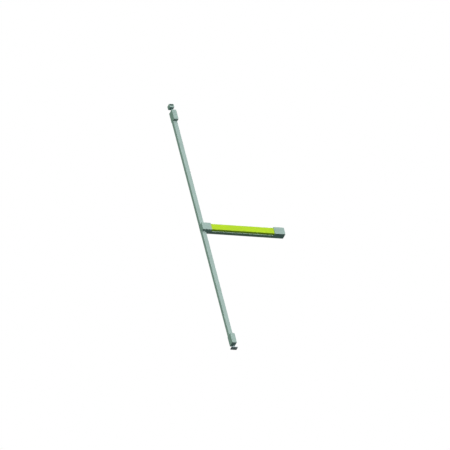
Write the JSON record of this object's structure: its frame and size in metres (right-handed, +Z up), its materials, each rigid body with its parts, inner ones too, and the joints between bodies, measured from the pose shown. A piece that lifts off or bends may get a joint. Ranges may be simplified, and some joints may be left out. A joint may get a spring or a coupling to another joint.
{
  "type": "surface vertical rod emergency exit lock",
  "caption": "Push-bar exit lock for a door: pressing the pad draws the top bolt out of a box keeper and the bottom bolt out of a floor plate through racks, rods and bell cranks.",
  "frame": {"origin": "on the door's face, on the line of the vertical rods, level with the middle of the push bar", "axes": "+X along the push bar away from the rods, +Y into the door, +Z up"},
  "size_m": [0.6348, 0.05, 2.135],
  "materials": {
    "cover_paint": "satin grey-green paint on sheet metal",
    "case_paint": "satin grey-green paint on pressed metal",
    "pad_paint": "satin lime paint on extruded aluminium",
    "rail_aluminium": "satin, extruded",
    "zinc_steel": "zinc plated",
    "bolt_steel": "bright ground",
    "nylon": "moulded nylon"
  },
  "bodies": {
    "root": {"axle_clip": "zinc_steel", "bottom_bolt_spring": "zinc_steel", "bottom_case_base": "zinc_steel", "bottom_case_cover": "case_paint", "bottom_case_screw": "zinc_steel", "chassis_rail": "rail_aluminium", "crank_bracket_left": "zinc_steel", "crank_bracket_right": "zinc_steel", "crank_pivot_left": "zinc_steel", "crank_pivot_right": "zinc_steel", "end_bracket": "zinc_steel", "end_cap": "case_paint", "end_cap_screw": "zinc_steel", "floor_strike": "zinc_steel", "gear_axle": "zinc_steel", "gear_retainer": "zinc_steel", "head_base_plate": "zinc_steel", "head_cover": "case_paint", "head_cover_screw": "zinc_steel", "keeper_screw_left": "zinc_steel", "keeper_screw_right": "zinc_steel", "lower_rod_cover": "cover_paint", "lower_rod_guide_inner": "nylon", "lower_rod_guide_outer": "nylon", "overhead_keeper": "case_paint", "pad_spring_left": "zinc_steel", "pad_spring_right": "zinc_steel", "top_bolt_spring": "zinc_steel", "top_case_base": "zinc_steel", "top_case_cover": "case_paint", "top_case_screw": "zinc_steel", "upper_rod_cover": "cover_paint", "upper_rod_guide_inner": "nylon", "upper_rod_guide_outer": "nylon"},
    "push_pad": {"pad_bracket_left": "zinc_steel", "pad_bracket_right": "zinc_steel", "pad_pin_left": "zinc_steel", "pad_pin_right": "zinc_steel", "push_pad": "pad_paint"},
    "bell_crank_left": {"bell_crank_left": "zinc_steel"},
    "bell_crank_right": {"bell_crank_right": "zinc_steel"},
    "control_bar": {"control_bar": "zinc_steel", "control_pin_left": "zinc_steel", "control_pin_right": "zinc_steel"},
    "drive_gear": {"drive_gear": "zinc_steel"},
    "upper_rod": {"top_bolt": "bolt_steel", "top_bolt_carrier": "zinc_steel", "upper_rack": "zinc_steel", "upper_rod": "zinc_steel", "upper_rod_nut": "zinc_steel"},
    "lower_rod": {"bottom_bolt": "bolt_steel", "bottom_bolt_carrier": "zinc_steel", "lower_rack": "zinc_steel", "lower_rod": "zinc_steel", "lower_rod_nut": "zinc_steel"}
  },
  "joints": [
    {"name": "pad_press", "type": "slide", "parent": "root", "child": "push_pad", "axis": [0, 1, 0], "range_m": [0, 0.014], "stiffness_N_per_m": 800, "springref_m": -0.02, "deforming": ["pad_spring_left", "pad_spring_right"]},
    {"name": "crank_turn_left", "type": "hinge", "parent": "root", "child": "bell_crank_left", "pos_m": [0.12, -0.022, 0], "axis": [0, 0, -1], "range_deg": [0, 33.9]},
    {"name": "crank_turn_right", "type": "hinge", "parent": "root", "child": "bell_crank_right", "pos_m": [0.46, -0.022, 0], "axis": [0, 0, -1], "range_deg": [0, 33.9]},
    {"name": "control_bar_slide", "type": "slide", "parent": "root", "child": "control_bar", "axis": [1, 0, 0], "range_m": [0, 0.00877]},
    {"name": "drive_gear_turn", "type": "hinge", "parent": "root", "child": "drive_gear", "pos_m": [0, -0.0145, 0], "axis": [0, -1, 0], "range_deg": [0, 100.5]},
    {"name": "upper_rod_slide", "type": "slide", "parent": "root", "child": "upper_rod", "axis": [0, 0, -1], "range_m": [0, 0.0123], "deforming": ["top_bolt_spring"]},
    {"name": "lower_rod_slide", "type": "slide", "parent": "root", "child": "lower_rod", "axis": [0, 0, 1], "range_m": [0, 0.0123], "deforming": ["bottom_bolt_spring"]}
  ],
  "couplings": [
    {"joint": "crank_turn_left", "follows": "pad_press", "rad_per_m": 42.206},
    {"joint": "crank_turn_right", "follows": "pad_press", "rad_per_m": 42.206},
    {"joint": "control_bar_slide", "follows": "pad_press", "ratio": 0.62609},
    {"joint": "drive_gear_turn", "follows": "pad_press", "rad_per_m": 125.22},
    {"joint": "upper_rod_slide", "follows": "pad_press", "ratio": 0.87652},
    {"joint": "lower_rod_slide", "follows": "pad_press", "ratio": 0.87652}
  ]
}
